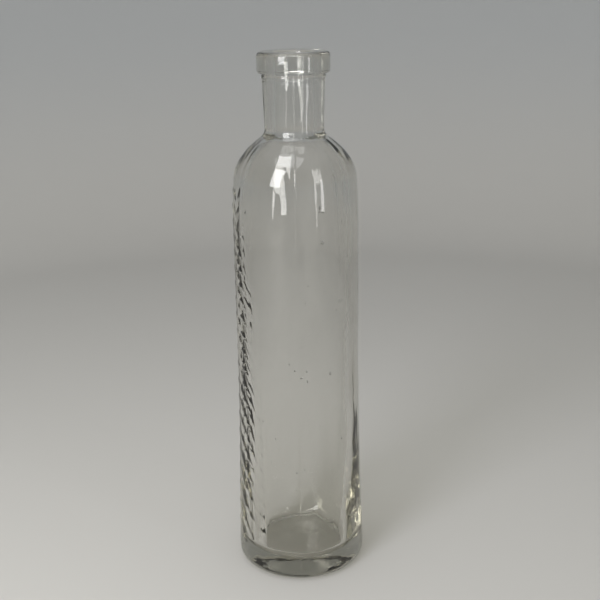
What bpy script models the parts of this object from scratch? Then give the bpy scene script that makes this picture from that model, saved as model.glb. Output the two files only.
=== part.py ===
"""Antique glass bottle: thick-walled and round, with a straight neck, a flat banded lip and a raised frond.

The bottle stands on its resting ring at the origin, +Z up. The frond runs up its -X side, a little towards -Y.
The glass is built as five turned sections, each a closed ring or cup of its own, with a hairline gap where two
sections meet.
"""

import math

import bmesh
import bpy

MM = 0.001  # the lengths below are in millimetres

OBJECT_NAME = "antique_glass_bottle"
TURN_STEPS = 48  # sides of every turned section
WALL_RINGS = 10
PUNT_RINGS = 6
DOME_STEPS = 9
COLLAR_STEPS = 3
CORNER_STEPS = 4
SECTION_GAP = 0.3

# Heights
BOTTLE_HEIGHT = 220.0
LIP_BOTTOM = 212.0
NECK_BOTTOM = 190.5
SHOULDER_BOTTOM = 171.0
WALL_TURN_IN = 150.0  # above this the body starts to close towards the shoulder
WALL_EASE_TOP = 105.0  # below this the body widens towards its foot
WALL_BOTTOM = 12.0
FOOT_HEIGHT = 7.0  # where the bottle is widest
FLOOR_HEIGHT = 7.0
PUNT_HEIGHT = 1.2
BORE_BOTTOM = 188.8

# Outside radii
LIP_RADIUS = 14.5
NECK_TOP_RADIUS = 12.5
NECK_BOTTOM_RADIUS = 11.9
WALL_RADIUS = 25.6
FOOT_RADIUS = 27.7
REST_INNER_RADIUS = 20.5
WALL_TURN_RATE = 0.00166  # inward for each squared millimetre above WALL_TURN_IN

# Inside radii
BORE_RADIUS = 7.4
CAVITY_RADIUS = 21.0
CAVITY_TURN_RATE = 0.0035
CAVITY_TAPER_HEIGHT = 86.0  # the cavity widens over this height above WALL_BOTTOM
CAVITY_FOOT_RADIUS = 19.2
FLOOR_FILLET = 5.0

# Curves of the shoulder, in (radius, height)
COLLAR_HANDLES = ((NECK_BOTTOM_RADIUS, 188.6), (12.8, 187.4))
CROWN = (14.5, 186.2)  # where the dome turns up into the neck
DOME_HANDLES = ((20.9, 181.6), (24.5, 176.2))
INNER_DOME_HANDLES = ((18.7, 177.8), (14.6, 183.4))
THROAT = (8.7, 187.0)

# Edge roundings and the bead under the lip
HEEL_ROUNDING = 4.5
LIP_TOP_ROUNDING = 1.6
LIP_BOTTOM_ROUNDING = 0.9
MOUTH_ROUNDING = 1.1
BEAD_HEIGHT = 2.0
BEAD_RELIEF = 0.35
BEAD_CLEARANCE = 0.4  # from the bead to the lip

# Raised frond by the -X side: leaf pairs that grow larger towards the foot
FROND_TURN = 9.0  # degrees from -X towards -Y
LEAF_PAIRS = 21
LEAF_ROWS = (20.0, 168.0)  # heights of the lowest and highest pair
LEAF_LENGTH = (15.0, 9.5)  # lowest and highest pair
LEAF_WIDTH = (4.6, 3.0)
LEAF_DROOP = 0.22  # fall of a leaf for each millimetre along it
LEAF_RELIEF = 0.5
LEAF_HALF_THICKNESS = 1.5
LEAF_TAPER = 0.3
LEAF_ROOT_OFFSET = 1.5  # from the frond's middle line
ROW_GROWTH = 1.02  # each step down is this much longer than the one above
STEM_HEIGHTS = (12.5, 170.0)
STEM_HALF_WIDTH = 1.0
STEM_RELIEF = 0.4

GLASS_COLOUR = (0.70, 0.71, 0.66, 1.0)
GLASS_ROUGHNESS = 0.05
GLASS_INDEX = 1.52
GLASS_TRANSMISSION = 1.0


def glass_material(name):
    material = bpy.data.materials.new(name)
    material.use_nodes = True
    shader = material.node_tree.nodes["Principled BSDF"]
    shader.inputs["Base Color"].default_value = GLASS_COLOUR
    shader.inputs["Roughness"].default_value = GLASS_ROUGHNESS
    shader.inputs["Metallic"].default_value = 0.0
    shader.inputs["IOR"].default_value = GLASS_INDEX
    shader.inputs["Transmission Weight"].default_value = GLASS_TRANSMISSION
    return material


def new_collection(name):
    collection = bpy.data.collections.new(name)
    bpy.context.scene.collection.children.link(collection)
    return collection


def blend(low, high, share):
    return low + (high - low) * share


def arc(centre, radius, start, end, steps):
    """Points on a circle in the (radius, height) plane, angles in degrees from the outward direction."""
    points = []
    for step in range(steps + 1):
        angle = math.radians(blend(start, end, step / steps))
        points.append((centre[0] + radius * math.cos(angle), centre[1] + radius * math.sin(angle)))
    return points


def bezier(p0, p1, p2, p3, steps):
    points = []
    for step in range(steps + 1):
        t = step / steps
        weights = ((1 - t) ** 3, 3 * t * (1 - t) ** 2, 3 * t * t * (1 - t), t**3)
        points.append(tuple(sum(w * p[axis] for w, p in zip(weights, (p0, p1, p2, p3))) for axis in (0, 1)))
    return points


def wall_radius(height):
    """The outside of the body: straight in the middle, wider at the foot and closing in at the top."""
    share = min(max((WALL_EASE_TOP - height) / (WALL_EASE_TOP - FOOT_HEIGHT), 0.0), 1.0)
    turned_in = WALL_TURN_RATE * max(height - WALL_TURN_IN, 0.0) ** 2
    return blend(WALL_RADIUS, FOOT_RADIUS, share * share) - turned_in


def cavity_radius(height):
    """The inside of the body: straight in the middle, narrower at the foot and closing in at the top."""
    share = min(max((height - WALL_BOTTOM) / CAVITY_TAPER_HEIGHT, 0.0), 1.0)
    turned_in = CAVITY_TURN_RATE * max(height - WALL_TURN_IN, 0.0) ** 2
    return blend(CAVITY_FOOT_RADIUS, CAVITY_RADIUS, math.sin(share * math.pi / 2)) - turned_in


def turned(name, outline, closed, material, collection):
    """One section: its outline in (radius, height) turned about the vertical axis."""
    edges = [(i, i + 1) for i in range(len(outline) - 1)]
    if closed:
        edges.append((len(outline) - 1, 0))
    mesh = bpy.data.meshes.new(name)
    mesh.from_pydata([(radius * MM, 0.0, height * MM) for radius, height in outline], edges, [])
    mesh.materials.append(material)
    section = bpy.data.objects.new(name, mesh)
    collection.objects.link(section)
    screw = section.modifiers.new("turn", "SCREW")
    screw.axis = "Z"
    screw.steps = TURN_STEPS
    screw.render_steps = TURN_STEPS
    screw.use_merge_vertices = True
    screw.merge_threshold = 0.00001
    screw.use_smooth_shade = True
    return section


def base_outline():
    top = WALL_BOTTOM - SECTION_GAP / 2
    fillet_centre = (CAVITY_FOOT_RADIUS - FLOOR_FILLET, FLOOR_HEIGHT + FLOOR_FILLET)
    fillet_end = -math.degrees(math.asin((fillet_centre[1] - top) / FLOOR_FILLET))
    outline = [(0.0, FLOOR_HEIGHT)]
    outline += arc(fillet_centre, FLOOR_FILLET, -90, fillet_end, CORNER_STEPS)
    outline += [(wall_radius(top), top), (FOOT_RADIUS, FOOT_HEIGHT)]
    outline += arc((FOOT_RADIUS - HEEL_ROUNDING, HEEL_ROUNDING), HEEL_ROUNDING, 0, -90, CORNER_STEPS)
    for step in range(PUNT_RINGS + 1):
        share = 1 - step / PUNT_RINGS
        outline.append((REST_INNER_RADIUS * share, PUNT_HEIGHT * (1 + math.cos(math.pi * share)) / 2))
    return outline


def wall_outline():
    bottom = WALL_BOTTOM + SECTION_GAP / 2
    top = SHOULDER_BOTTOM - SECTION_GAP / 2
    heights = [blend(bottom, top, step / WALL_RINGS) for step in range(WALL_RINGS + 1)]
    outline = [(wall_radius(height), height) for height in reversed(heights)]
    outline += [(cavity_radius(height), height) for height in heights]
    return outline


def shoulder_outline():
    bottom = SHOULDER_BOTTOM + SECTION_GAP / 2
    top = NECK_BOTTOM - SECTION_GAP / 2
    outline = bezier((NECK_BOTTOM_RADIUS, top), *COLLAR_HANDLES, CROWN, COLLAR_STEPS)[:-1]
    outline += bezier(CROWN, *DOME_HANDLES, (wall_radius(bottom), bottom), DOME_STEPS)
    outline += bezier((cavity_radius(bottom), bottom), *INNER_DOME_HANDLES, THROAT, DOME_STEPS)
    outline += [(BORE_RADIUS, BORE_BOTTOM), (BORE_RADIUS, top)]
    return outline


def neck_outline():
    bottom = NECK_BOTTOM + SECTION_GAP / 2
    top = LIP_BOTTOM - SECTION_GAP / 2
    bead_middle = top - BEAD_CLEARANCE - BEAD_HEIGHT / 2
    outline = [
        (NECK_TOP_RADIUS, top),
        (NECK_TOP_RADIUS, bead_middle + BEAD_HEIGHT / 2),
        (NECK_TOP_RADIUS + BEAD_RELIEF, bead_middle + BEAD_HEIGHT / 6),
        (NECK_TOP_RADIUS + BEAD_RELIEF, bead_middle - BEAD_HEIGHT / 6),
        (NECK_TOP_RADIUS, bead_middle - BEAD_HEIGHT / 2),
    ]
    outline += [(NECK_BOTTOM_RADIUS, bottom), (BORE_RADIUS, bottom), (BORE_RADIUS, top)]
    return outline


def lip_outline():
    bottom = LIP_BOTTOM + SECTION_GAP / 2
    upper = (LIP_RADIUS - LIP_TOP_ROUNDING, BOTTLE_HEIGHT - LIP_TOP_ROUNDING)
    lower = (LIP_RADIUS - LIP_BOTTOM_ROUNDING, bottom + LIP_BOTTOM_ROUNDING)
    mouth = (BORE_RADIUS + MOUTH_ROUNDING, BOTTLE_HEIGHT - MOUTH_ROUNDING)
    outline = arc(upper, LIP_TOP_ROUNDING, 90, 0, CORNER_STEPS)
    outline += arc(lower, LIP_BOTTOM_ROUNDING, 0, -90, CORNER_STEPS)
    outline.append((BORE_RADIUS, bottom))
    outline += arc(mouth, MOUTH_ROUNDING, 180, 90, CORNER_STEPS)
    return outline


def add_leaf(mesh, side, root_height, length, width):
    """One leaf: a long flattened ball, bent round the body with its back sunk into the wall."""
    ball = bmesh.ops.create_uvsphere(mesh, u_segments=10, v_segments=8, radius=1.0)
    for vertex in ball["verts"]:
        along = vertex.co.z
        across = vertex.co.x * (1 - LEAF_TAPER * along)
        out = vertex.co.y
        reach = LEAF_ROOT_OFFSET + length * (along + 1) / 2
        height = root_height - LEAF_DROOP * reach + across * width / 2
        surface = wall_radius(height)
        radius = surface + LEAF_RELIEF + LEAF_HALF_THICKNESS * (out - 1)
        angle = math.pi + math.radians(FROND_TURN) + side * reach / surface
        vertex.co = (radius * math.cos(angle) * MM, radius * math.sin(angle) * MM, height * MM)
    if side > 0:
        faces = {face for vertex in ball["verts"] for face in vertex.link_faces}
        bmesh.ops.reverse_faces(mesh, faces=list(faces))


def add_stem(mesh):
    """The frond's middle rib: a long upright spindle."""
    ball = bmesh.ops.create_uvsphere(mesh, u_segments=8, v_segments=10, radius=1.0)
    for vertex in ball["verts"]:
        height = blend(STEM_HEIGHTS[0], STEM_HEIGHTS[1], (vertex.co.z + 1) / 2)
        radius = wall_radius(height) + STEM_RELIEF + STEM_HALF_WIDTH * (vertex.co.x - 1)
        angle = math.pi + math.radians(FROND_TURN) + vertex.co.y * STEM_HALF_WIDTH / radius
        vertex.co = (radius * math.cos(angle) * MM, radius * math.sin(angle) * MM, height * MM)


def leaf_rows():
    """Heights of the leaf pairs from the top one down, each step a little longer than the last."""
    steps = [ROW_GROWTH**row for row in range(LEAF_PAIRS - 1)]
    scale = (LEAF_ROWS[1] - LEAF_ROWS[0]) / sum(steps)
    heights = [LEAF_ROWS[1]]
    for step in steps:
        heights.append(heights[-1] - step * scale)
    return heights


def frond(collection):
    mesh = bmesh.new()
    for height in leaf_rows():
        share = (height - LEAF_ROWS[0]) / (LEAF_ROWS[1] - LEAF_ROWS[0])
        length = blend(LEAF_LENGTH[0], LEAF_LENGTH[1], share)
        width = blend(LEAF_WIDTH[0], LEAF_WIDTH[1], share)
        for side in (-1, 1):
            add_leaf(mesh, side, height, length, width)
    add_stem(mesh)
    data = bpy.data.meshes.new("frond_relief")
    mesh.to_mesh(data)
    mesh.free()
    relief = bpy.data.objects.new("frond_relief", data)
    collection.objects.link(relief)
    relief.hide_render = True
    relief.display_type = "WIRE"
    return relief


def main():
    for old in list(bpy.data.objects):
        bpy.data.objects.remove(old)
    parts = new_collection(OBJECT_NAME)
    cutters = new_collection("cutters")

    outlines = {
        "base": (base_outline(), False),
        "body_wall": (wall_outline(), True),
        "shoulder": (shoulder_outline(), True),
        "neck": (neck_outline(), True),
        "lip": (lip_outline(), True),
    }
    sections = {}
    for name, (outline, closed) in outlines.items():
        material = glass_material(name + "_glass")
        sections[name] = turned(name, outline, closed, material, parts)

    union = sections["body_wall"].modifiers.new("raised_frond", "BOOLEAN")
    union.operation = "UNION"
    union.solver = "EXACT"
    union.object = frond(cutters)

    bottle = bpy.data.objects.new("bottle", None)
    parts.objects.link(bottle)
    for section in sections.values():
        section.parent = bottle


main()
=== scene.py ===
import math
import random

import bmesh
import bpy
from mathutils import Matrix, Vector, noise


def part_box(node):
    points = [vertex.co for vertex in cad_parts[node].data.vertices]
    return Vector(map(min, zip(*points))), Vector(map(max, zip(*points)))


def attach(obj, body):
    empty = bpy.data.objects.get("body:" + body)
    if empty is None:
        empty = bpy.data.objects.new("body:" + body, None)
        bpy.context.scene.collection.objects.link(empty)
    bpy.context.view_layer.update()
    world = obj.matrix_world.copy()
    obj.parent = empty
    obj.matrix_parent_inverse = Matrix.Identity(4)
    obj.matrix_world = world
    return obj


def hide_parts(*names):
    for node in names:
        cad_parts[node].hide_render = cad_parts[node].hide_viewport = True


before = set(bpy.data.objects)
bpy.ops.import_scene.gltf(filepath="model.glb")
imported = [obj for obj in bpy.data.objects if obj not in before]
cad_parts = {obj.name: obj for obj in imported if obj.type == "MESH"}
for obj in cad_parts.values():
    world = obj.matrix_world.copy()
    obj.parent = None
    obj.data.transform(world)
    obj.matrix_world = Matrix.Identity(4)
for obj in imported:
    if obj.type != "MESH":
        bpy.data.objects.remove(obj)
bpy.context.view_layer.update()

mm = 0.001
print("frame loaded")


class Wire:
    # a socket that can be used in a formula; each operator adds one Math node
    def __init__(self, shop, socket):
        self.shop = shop
        self.socket = socket

    def math(self, operation, *values):
        return self.shop.node("ShaderNodeMath", {"operation": operation}, dict(enumerate(values)))

    def __add__(self, other):
        return self.math("ADD", self, other)

    def __radd__(self, other):
        return self.math("ADD", other, self)

    def __sub__(self, other):
        return self.math("SUBTRACT", self, other)

    def __rsub__(self, other):
        return self.math("SUBTRACT", other, self)

    def __mul__(self, other):
        return self.math("MULTIPLY", self, other)

    def __rmul__(self, other):
        return self.math("MULTIPLY", other, self)

    def between(self, low, high):
        # 0 below low, 1 above high, smooth in the middle
        settings = {"interpolation_type": "SMOOTHSTEP"}
        values = {"Value": self, "From Min": low, "From Max": high}
        return self.shop.node("ShaderNodeMapRange", settings, values)


class Shop:
    # makes the nodes of one material
    def __init__(self, name):
        self.material = bpy.data.materials.new(name)
        self.material.use_nodes = True
        self.tree = self.material.node_tree
        self.tree.nodes.clear()

    def node(self, kind, settings=None, values=None, output=0):
        made = self.tree.nodes.new(kind)
        for key, value in (settings or {}).items():
            setattr(made, key, value)
        for key, value in (values or {}).items():
            if isinstance(value, Wire):
                self.tree.links.new(value.socket, made.inputs[key])
            else:
                made.inputs[key].default_value = value
        return Wire(self, made.outputs[output])

    def finish(self, surface, volume=None):
        end = self.tree.nodes.new("ShaderNodeOutputMaterial")
        self.tree.links.new(surface.socket, end.inputs["Surface"])
        if volume:
            self.tree.links.new(volume.socket, end.inputs["Volume"])
        return self.material


def quick(full, fast):
    return full


def top(node):
    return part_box(node)[1][2]


def bottom(node):
    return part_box(node)[0][2]


def widest(node):
    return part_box(node)[1][1]


# the glass between the heights and widths that the frame gives
glassShape = {
    "restInner": 20.5 * mm,
    "heelRounding": 4.5 * mm,
    "punt": 1.2 * mm,
    "footHeight": 7.0 * mm,
    "wall": 25.6 * mm,
    "wallEaseTop": 105.0 * mm,  # below this the body widens towards its foot
    "turnIn": 150.0 * mm,  # above this the body closes towards the shoulder
    "wallTurnRate": 1.66,
    "cavityTurnRate": 3.5,
    "floorHeight": 7.0 * mm,
    "floorFillet": 5.0 * mm,
    "cavityFoot": 19.2 * mm,
    "cavity": 21.0 * mm,
    "cavityTaper": 86.0 * mm,
    "crown": (14.5 * mm, 186.2 * mm),  # where the dome turns up into the neck
    "domeHandles": ((24.5 * mm, 176.2 * mm), (20.9 * mm, 181.6 * mm)),
    "collarHandles": ((12.8 * mm, 187.4 * mm), (11.9 * mm, 188.6 * mm)),
    "innerDomeHandles": ((14.6 * mm, 183.4 * mm), (18.7 * mm, 177.8 * mm)),
    "throat": (9.6 * mm, 186.5 * mm),
    "boreBottom": 189.6 * mm,
    "boreEase": 1.4 * mm,  # how far the bore runs on before it bends into the throat
    "throatEase": (1.2 * mm, 0.5 * mm),
    "bore": 7.4 * mm,
    "neckFoot": 11.9 * mm,
    "neckTop": 12.5 * mm,
    "mouth": 8.5 * mm,
    "mouthRounding": 1.1 * mm,
    "lipTopRounding": 1.6 * mm,
    "lipBottomRounding": 0.9 * mm,
    "beadHeight": 2.0 * mm,
    "beadRelief": 0.3 * mm,
    "beadClearance": 0.5 * mm,  # from the bead to the lip
    "trueFoot": 0.5 * mm,  # below this the outside stays even, so that the bottle stands flat
}
# how many steps draw each stretch of the outline; a pair is full and quick
glassSteps = {
    "punt": 16,
    "heel": 9,
    "wall": (255, 140),
    "dome": 30,
    "collar": 8,
    "neck": 12,
    "bead": 8,
    "lipBottom": 5,
    "lipTop": 7,
    "mouth": 6,
    "bore": 14,
    "throat": 6,
    "innerDome": 20,
    "cavity": 40,
    "fillet": 9,
    "floor": 8,
}

bottleHeight = top("lip")
lipBottom = (bottom("lip") + top("neck")) / 2
neckBottom = (bottom("neck") + top("shoulder")) / 2
shoulderBottom = (bottom("shoulder") + top("body_wall")) / 2
wallBottom = (bottom("body_wall") + top("base")) / 2
footRadius = widest("base")
lipRadius = widest("lip")


def lerp(low, high, share):
    return low + (high - low) * share


def smooth(value):
    value = min(max(value, 0.0), 1.0)
    return value * value * (3 - 2 * value)


def arcPoints(centre, radius, start, end, steps):
    points = []
    for step in range(steps + 1):
        angle = math.radians(lerp(start, end, step / steps))
        points.append((centre[0] + radius * math.cos(angle), centre[1] + radius * math.sin(angle)))
    return points


def bezierPoints(p0, p1, p2, p3, steps):
    points = []
    for step in range(steps + 1):
        t = step / steps
        weights = ((1 - t) ** 3, 3 * t * (1 - t) ** 2, 3 * t * t * (1 - t), t ** 3)
        points.append(tuple(sum(w * p[axis] for w, p in zip(weights, (p0, p1, p2, p3))) for axis in (0, 1)))
    return points


def linePoints(start, end, steps):
    return [(lerp(start[0], end[0], i / steps), lerp(start[1], end[1], i / steps)) for i in range(steps + 1)]


def wallRadius(height):
    g = glassShape
    share = min(max((g["wallEaseTop"] - height) / (g["wallEaseTop"] - g["footHeight"]), 0.0), 1.0)
    straight = lerp(g["wall"], footRadius, share * share)
    return straight - g["wallTurnRate"] * max(height - g["turnIn"], 0.0) ** 2


def cavityRadius(height):
    g = glassShape
    share = min(max((height - wallBottom) / g["cavityTaper"], 0.0), 1.0)
    straight = lerp(g["cavityFoot"], g["cavity"], math.sin(share * math.pi / 2))
    return straight - g["cavityTurnRate"] * max(height - g["turnIn"], 0.0) ** 2


def outerProfile():
    # from the middle of the underside, out and up to the lip's flat top
    g = glassShape
    steps = glassSteps
    heel = g["heelRounding"]
    points = []
    for step in range(1, steps["punt"] + 1):
        share = step / steps["punt"]
        points.append((g["restInner"] * share, g["punt"] * (1 + math.cos(math.pi * share)) / 2))
    points += arcPoints((footRadius - heel, heel), heel, -90, 0, steps["heel"])
    wallSteps = quick(*steps["wall"])
    for step in range(wallSteps + 1):
        height = lerp(g["footHeight"], shoulderBottom, step / wallSteps)
        points.append((wallRadius(height), height))
    points += bezierPoints(points[-1], *g["domeHandles"], g["crown"], steps["dome"])[1:]
    points += bezierPoints(g["crown"], *g["collarHandles"], (g["neckFoot"], neckBottom), steps["collar"])[1:]
    beadTop = lipBottom - g["beadClearance"]
    beadFoot = beadTop - g["beadHeight"]
    points += linePoints(points[-1], (g["neckTop"], beadFoot), steps["neck"])[1:]
    for step in range(1, steps["bead"] + 1):
        share = step / steps["bead"]
        swell = g["beadRelief"] * math.sin(share * math.pi)
        points.append((g["neckTop"] + swell, lerp(beadFoot, beadTop, share)))
    points.append((g["neckTop"], lipBottom))
    lower = (lipRadius - g["lipBottomRounding"], lipBottom + g["lipBottomRounding"])
    upper = (lipRadius - g["lipTopRounding"], bottleHeight - g["lipTopRounding"])
    points += arcPoints(lower, g["lipBottomRounding"], -90, 0, steps["lipBottom"])
    points += arcPoints(upper, g["lipTopRounding"], 0, 90, steps["lipTop"])
    return points


def innerProfile():
    # from the lip's flat top, down the bore and the cavity to the middle of the floor
    g = glassShape
    steps = glassSteps
    rounding = g["mouthRounding"]
    points = arcPoints((g["mouth"], bottleHeight - rounding), rounding, 90, 180, steps["mouth"])
    boreTop = points[-1][1] - rounding
    points += linePoints((g["bore"], boreTop), (g["bore"], g["boreBottom"]), steps["bore"])
    boreHandle = (g["bore"], g["boreBottom"] - g["boreEase"])
    throatHandle = (g["throat"][0] - g["throatEase"][0], g["throat"][1] + g["throatEase"][1])
    points += bezierPoints(points[-1], boreHandle, throatHandle, g["throat"], steps["throat"])[1:]
    domeFoot = (cavityRadius(shoulderBottom), shoulderBottom)
    points += bezierPoints(g["throat"], *g["innerDomeHandles"], domeFoot, steps["innerDome"])[1:]
    fillet = g["floorFillet"]
    start = g["floorHeight"] + fillet
    for step in range(1, steps["cavity"] + 1):
        height = lerp(shoulderBottom, start, step / steps["cavity"])
        points.append((cavityRadius(height), height))
    points += arcPoints((g["cavityFoot"] - fillet, start), fillet, 0, -90, steps["fillet"])[1:]
    points += linePoints(points[-1], (0.0, g["floorHeight"]), steps["floor"])[1:-1]
    return points


# relief on the outside: a frond of drooping leaf pairs by the -X side
frond = {
    "turn": math.radians(9),  # from -X towards the front
    "pairs": 21,
    "rows": (20.0 * mm, 168.0 * mm),  # roots of the lowest and highest pair
    "length": (14.0 * mm, 9.5 * mm),
    "width": (6.0 * mm, 4.2 * mm),
    "droop": 0.9,  # fall of a leaf for each unit of its reach
    "relief": 0.22 * mm,
    "tipHeight": 26 * mm,  # over this height the top pairs shorten towards the tip
    "tipLength": 0.35,  # what is left of the topmost pair's length
    "tipFall": 0.25,  # the relief fades by this share towards a leaf's tip
    "belly": 0.8,  # under 1, the leaf is widest nearer its root
    "fullness": 0.75,  # under 1, the outline is fuller than a sine arch
    "crownRise": 1.15,  # over 1, the middle of the leaf is flattened
    "rootOffset": 1.5 * mm,
    "growth": 1.02,  # each step down is this much longer than the one above
    "reach": 24 * mm,  # no leaf goes further round the body than this
    "stemHalfWidth": 0.9 * mm,
    "stemRelief": 0.12 * mm,
    "stemHeights": (12.5 * mm, 167.0 * mm),
    "stemEnds": 8,  # the stem rises and dies out over one part in this many of its length
}
seam = {"halfWidth": 0.24 * mm, "relief": 0.17 * mm, "foot": 1.0 * mm}
# unevenness; a pair gives the noise's scale round the bottle and the height of one step up it
waves = {
    "outer": 0.09 * mm,
    "inner": 0.55 * mm,
    "folds": 0.10 * mm,
    "slow": (1.6, 38 * mm),
    "fine": (4.5, 16 * mm),
    "fineShare": 0.45,
    "foldSteps": (8.0, 55 * mm),
    "outerSeed": 3.0,
    "innerSeed": 11.0,
    "footFade": (8 * mm, 10 * mm),  # start, and the height over which the waves come in
    "lipFade": (3 * mm, 8 * mm),  # the same, down from the lip
    "innerLipFade": 20 * mm,
    "axisFade": 16 * mm,  # the waves inside grow over this distance from the axis
}
bubbles = {
    "count": 70,
    "radius": (0.12 * mm, 0.34 * mm),
    "stretch": (1.2, 3.0),  # drawn out along the bottle
    "heights": (16 * mm, 165 * mm),
    "depth": (0.2, 0.8),  # share of the way from the cavity to the outside
    "sides": 8,
    "rows": 6,
    "seed": 7,
}


def leafRows():
    f = frond
    steps = [f["growth"] ** row for row in range(f["pairs"] - 1)]
    scale = (f["rows"][1] - f["rows"][0]) / sum(steps)
    heights = [f["rows"][1]]
    for step in steps:
        heights.append(heights[-1] - step * scale)
    rows = []
    for height in heights:
        share = (height - f["rows"][0]) / (f["rows"][1] - f["rows"][0])
        short = lerp(f["tipLength"], 1.0, smooth((f["rows"][1] - height) / f["tipHeight"]))
        rows.append((height, lerp(*f["length"], share) * short, lerp(*f["width"], share)))
    return rows


leaves = leafRows()


def leafRelief(reach, height):
    # reach is the distance round the body from the frond's middle line
    f = frond
    best = 0.0
    for root, length, width in leaves:
        along = (reach - f["rootOffset"]) / length
        if not 0 < along < 1:
            continue
        across = height - (root - f["droop"] * reach)
        half = width / 2 * math.sin(math.pi * along ** f["belly"]) ** f["fullness"]
        if abs(across) >= half:
            continue
        crown = smooth(f["crownRise"] * (1 - (across / half) ** 2))
        best = max(best, f["relief"] * crown * (1 - f["tipFall"] * along))
    return best


def stemRelief(reach, height):
    low, high = frond["stemHeights"]
    share = (height - low) / (high - low)
    if not 0 < share < 1 or reach >= frond["stemHalfWidth"]:
        return 0.0
    ends = min(1.0, frond["stemEnds"] * share, frond["stemEnds"] * (1 - share))
    return frond["stemRelief"] * ends * math.sqrt(1 - (reach / frond["stemHalfWidth"]) ** 2)


def outerRelief(angle, radius, height):
    # angle is 0 at -X and grows towards the front
    reach = abs(angle - frond["turn"]) * radius
    relief = 0.0
    if wallBottom < height < shoulderBottom and reach < frond["reach"]:
        relief = max(leafRelief(reach, height), stemRelief(reach, height))
    fromSeam = abs(abs(angle) - math.pi / 2) * radius
    if seam["foot"] < height < lipBottom:
        relief += seam["relief"] * math.exp(-(fromSeam / seam["halfWidth"]) ** 2)
    return relief


def noisePlace(angle, height, scales, shift=0.0):
    around, rise = scales
    return Vector((math.cos(angle) * around, math.sin(angle) * around, height / rise + shift))


def wave(angle, height, size, seed):
    # slow unevenness of the glass, drawn out along the bottle
    slow = noise.noise(noisePlace(angle, height, waves["slow"], seed))
    fine = noise.noise(noisePlace(angle, height, waves["fine"], seed * 2))
    return size * (slow + waves["fineShare"] * fine)


def fold(angle, height):
    # narrow upright folds inside the cavity, left where the glass chilled against the air
    return waves["folds"] * noise.noise(noisePlace(angle, height, waves["foldSteps"]))


# angles between the mesh's upright lines, in radians; a pair is full and quick
turnSteps = {
    "frond": (0.0160, 0.03),
    "frondReach": math.radians(40),
    "seam": 0.006,
    "seamReach": 0.05,
    "elsewhere": (math.radians(3.4), math.radians(5.0)),
}


def turnAngles():
    # fine over the frond and at the seams, coarser elsewhere
    frondStart = frond["turn"] - turnSteps["frondReach"]
    frondEnd = frond["turn"] + turnSteps["frondReach"]
    fine = quick(*turnSteps["frond"])
    coarse = quick(*turnSteps["elsewhere"])
    seamStep = turnSteps["seam"]
    side = math.pi / 2
    near = turnSteps["seamReach"]
    stops = [
        (-math.pi, coarse),
        (-side - near, seamStep),
        (-side + near, coarse),
        (frondStart, fine),
        (frondEnd, coarse),
        (side - near, seamStep),
        (side + near, coarse),
        (math.pi, None),
    ]
    angles = []
    for (start, step), (end, _) in zip(stops, stops[1:]):
        count = max(1, round((end - start) / step))
        angles += [lerp(start, end, i / count) for i in range(count)]
    return angles


def ringPoint(angle, radius, height):
    return Vector((-radius * math.cos(angle), -radius * math.sin(angle), height))


def addBubbles(mesh):
    # seed bubbles: small voids inside the wall, whose faces are turned to look inwards at the end
    draw = random.Random(bubbles["seed"])
    sides = bubbles["sides"]
    rows = bubbles["rows"]
    for _ in range(bubbles["count"]):
        angle = draw.uniform(-math.pi, math.pi)
        height = draw.uniform(*bubbles["heights"])
        size = draw.uniform(*bubbles["radius"])
        stretch = draw.uniform(*bubbles["stretch"])
        middle = lerp(cavityRadius(height), wallRadius(height), draw.uniform(*bubbles["depth"]))
        ball = bmesh.ops.create_uvsphere(mesh, u_segments=sides, v_segments=rows, radius=size)
        for vertex in ball["verts"]:
            vertex.co.z *= stretch
            vertex.co += ringPoint(angle, middle, height)
    return list(mesh.faces)


def outerRadius(angle, radius, height):
    if height <= glassShape["trueFoot"]:
        return radius
    footStart, footRise = waves["footFade"]
    lipStart, lipFall = waves["lipFade"]
    share = smooth((height - footStart) / footRise) * smooth((lipBottom - lipStart - height) / lipFall)
    radius += outerRelief(angle, radius, height)
    return radius + wave(angle, height, waves["outer"], waves["outerSeed"]) * share


def innerRadius(angle, radius, height):
    share = smooth((lipBottom - height) / waves["innerLipFade"]) * smooth(radius / waves["axisFade"])
    uneven = wave(angle, height, waves["inner"], waves["innerSeed"]) + fold(angle, height)
    return radius + uneven * share


def buildGlass():
    angles = turnAngles()
    mesh = bmesh.new()
    bubbleFaces = addBubbles(mesh)
    rings = []
    for uneven, profile in ((outerRadius, outerProfile()), (innerRadius, innerProfile())):
        for radius, height in profile:
            places = [ringPoint(angle, uneven(angle, radius, height), height) for angle in angles]
            rings.append([mesh.verts.new(place) for place in places])
    count = len(angles)
    for lower, upper in zip(rings, rings[1:]):
        for i in range(count):
            j = (i + 1) % count
            mesh.faces.new((lower[i], lower[j], upper[j], upper[i]))
    for ring, height in ((rings[0], glassShape["punt"]), (rings[-1], glassShape["floorHeight"])):
        middle = mesh.verts.new((0, 0, height))
        for i in range(count):
            mesh.faces.new((middle, ring[i], ring[(i + 1) % count]))
    bmesh.ops.recalc_face_normals(mesh, faces=mesh.faces)
    bmesh.ops.reverse_faces(mesh, faces=bubbleFaces)
    data = bpy.data.meshes.new("glass_bottle")
    mesh.to_mesh(data)
    mesh.free()
    data.shade_smooth()
    return data


glassLook = {
    "tint": (0.97, 0.97, 0.965, 1.0),
    "index": 1.50,
    "absorption": (0.75, 0.74, 0.685, 1.0),
    "density": 54.0,
    "shadow": (0.93, 0.93, 0.915, 1.0),
    "bump": 0.55,
    "bumpHeight": 0.0004,
    "streaks": (190.0, 0.8),  # noise scale and weight
    "streakStretch": 0.12,  # drawn out along the bottle
    "ripples": (80.0, 0.5),
    "grain": 900.0,
    "grainRange": (0.45, 0.65),
    "wearTop": 1.6 * mm,  # the glass is worn dull in spots below this
    "wear": 0.08,
}


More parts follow.
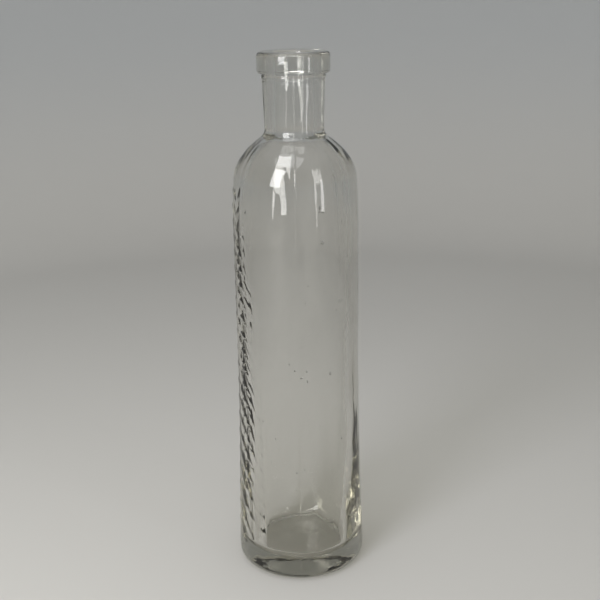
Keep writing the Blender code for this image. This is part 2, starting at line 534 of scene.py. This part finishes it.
def glassMaterial():
    shop = Shop("old_clear_glass")
    look = glassLook
    place = shop.node("ShaderNodeTexCoord", output=3)
    scale = (1.0, 1.0, look["streakStretch"])
    stretched = shop.node("ShaderNodeMapping", {}, {"Vector": place, "Scale": scale})
    streakScale, streakWeight = look["streaks"]
    rippleScale, rippleWeight = look["ripples"]
    streaks = shop.node("ShaderNodeTexNoise", {}, {"Vector": stretched, "Scale": streakScale, "Detail": 2.0})
    ripples = shop.node("ShaderNodeTexNoise", {}, {"Vector": place, "Scale": rippleScale, "Detail": 1.0})
    height = streaks * streakWeight + ripples * rippleWeight
    bump = {"Height": height, "Strength": look["bump"], "Distance": look["bumpHeight"]}
    normal = shop.node("ShaderNodeBump", {}, bump)
    rise = shop.node("ShaderNodeSeparateXYZ", {}, {"Vector": place}, output=2)
    grains = shop.node("ShaderNodeTexNoise", {}, {"Vector": place, "Scale": look["grain"], "Detail": 2.0})
    wear = (1 - rise.between(0.0, look["wearTop"])) * grains.between(*look["grainRange"]) * look["wear"]
    glass = shop.node("ShaderNodeBsdfPrincipled", {}, {
        "Base Color": look["tint"],
        "Roughness": wear,
        "IOR": look["index"],
        "Transmission Weight": 1.0,
        "Normal": normal,
    })
    clear = shop.node("ShaderNodeBsdfTransparent", {}, {"Color": look["shadow"]})
    shadowRay = shop.node("ShaderNodeLightPath", output=1)
    surface = shop.node("ShaderNodeMixShader", {}, {0: shadowRay, 1: glass, 2: clear})
    depth = {"Color": look["absorption"], "Density": look["density"]}
    volume = shop.node("ShaderNodeVolumeAbsorption", {}, depth)
    return shop.finish(surface, volume)


def makeBottle():
    bottle = bpy.data.objects.new("glass_bottle", buildGlass())
    bpy.context.scene.collection.objects.link(bottle)
    bottle.data.materials.append(glassMaterial())
    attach(bottle, "root")
    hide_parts("base", "body_wall", "shoulder", "neck", "lip")
    print("bottle:", len(bottle.data.polygons), "faces")


stage = {
    "floorRadius": 0.50,
    "sweep": 0.22,  # radius of the curve from the floor to the backdrop
    "backdropTop": 1.0,
    "drop": 0.2 * mm,  # the floor lies this far under the resting ring
    "sides": 96,
    "floorSteps": 3,
    "sweepSteps": 16,
    "roughness": 0.85,
    "specular": 0.2,
    "floorColour": (0.58, 0.565, 0.53, 1.0),
    "backdropColour": (0.49, 0.50, 0.50, 1.0),
}


def makeStage():
    # a plain floor that curves up into a plain backdrop all the way round
    s = stage
    profile = linePoints((0.0, -s["drop"]), (s["floorRadius"], -s["drop"]), s["floorSteps"])
    centre = (s["floorRadius"], s["sweep"] - s["drop"])
    profile += arcPoints(centre, s["sweep"], -90, 0, s["sweepSteps"])[1:]
    profile.append((s["floorRadius"] + s["sweep"], s["backdropTop"]))
    data = bpy.data.meshes.new("studio_floor")
    edges = [(i, i + 1) for i in range(len(profile) - 1)]
    data.from_pydata([(radius, 0.0, height) for radius, height in profile], edges, [])
    floor = bpy.data.objects.new("studio_floor", data)
    bpy.context.scene.collection.objects.link(floor)
    screw = floor.modifiers.new("turn", "SCREW")
    screw.steps = s["sides"]
    screw.render_steps = s["sides"]
    screw.use_merge_vertices = True
    screw.merge_threshold = 0.0001
    shop = Shop("studio_paper")
    place = shop.node("ShaderNodeTexCoord", output=3)
    rise = shop.node("ShaderNodeSeparateXYZ", {}, {"Vector": place}, output=2).between(0.0, s["sweep"])
    colour = shop.node("ShaderNodeMix", {"data_type": "RGBA"},
                       {0: rise, 6: s["floorColour"], 7: s["backdropColour"]}, output=2)
    paper = {"Base Color": colour, "Roughness": s["roughness"], "Specular IOR Level": s["specular"]}
    data.materials.append(shop.finish(shop.node("ShaderNodeBsdfPrincipled", {}, paper)))
    print("stage made")


# plain softboxes: degrees right of the camera's side, degrees up, width, height and watts
lampDistance = 0.60
lampAim = (0, 0, 0.15)
lamps = [
    ("softbox_left", -36, 24, 0.20, 0.52, 3.6),
    ("softbox_right", 48, 6, 0.06, 0.30, 0.4),
    ("softbox_above", -25, 68, 0.40, 0.26, 1.0),
]
air = {"colour": (0.86, 0.88, 0.92, 1.0), "strength": 0.5}


def makeLamps():
    for name, right, up, width, height, watts in lamps:
        light = bpy.data.lights.new(name, "AREA")
        light.shape = "RECTANGLE"
        light.size = width
        light.size_y = height
        light.energy = watts
        lamp = bpy.data.objects.new(name, light)
        bpy.context.scene.collection.objects.link(lamp)
        right, up = math.radians(right), math.radians(up)
        away = Vector((math.sin(right) * math.cos(up), -math.cos(right) * math.cos(up), math.sin(up)))
        lamp.location = Vector(lampAim) + away * lampDistance
        lamp.rotation_euler = (-away).to_track_quat("-Z", "Y").to_euler()
        lamp.visible_camera = False
    world = bpy.data.worlds.new("studio_air")
    bpy.context.scene.world = world
    world.use_nodes = True
    background = world.node_tree.nodes["Background"]
    background.inputs["Color"].default_value = air["colour"]
    background.inputs["Strength"].default_value = air["strength"]
    print("lamps placed:", len(lamps))


camera = {
    "lens": 60.0,  # mm
    "sensor": 36.0,  # mm
    "clip": 0.01,
    "place": (0.0, -0.399, 0.248),
    "aim": (0.0011, 0.0, 0.1184),
    "roll": -0.95,  # degrees
}


def makeCamera():
    data = bpy.data.cameras.new("camera")
    data.lens = camera["lens"]
    data.sensor_width = camera["sensor"]
    data.clip_start = camera["clip"]
    view = bpy.data.objects.new("camera", data)
    bpy.context.scene.collection.objects.link(view)
    place = Vector(camera["place"])
    turn = (Vector(camera["aim"]) - place).to_track_quat("-Z", "Y").to_matrix()
    roll = Matrix.Rotation(math.radians(camera["roll"]), 3, "Z")
    view.matrix_world = Matrix.Translation(place) @ (turn @ roll).to_4x4()
    bpy.context.scene.camera = view
    print("camera placed")


def setLightPaths():
    bpy.context.scene.view_settings.view_transform = "Standard"
    cycles = bpy.context.scene.cycles
    cycles.caustics_reflective = False
    cycles.caustics_refractive = False
    cycles.max_bounces = 24
    cycles.transmission_bounces = 24
    cycles.glossy_bounces = 12
    cycles.transparent_max_bounces = 24


makeCamera()
makeLamps()
makeStage()
makeBottle()
setLightPaths()
print("scene built")

bpy.context.view_layer.update()
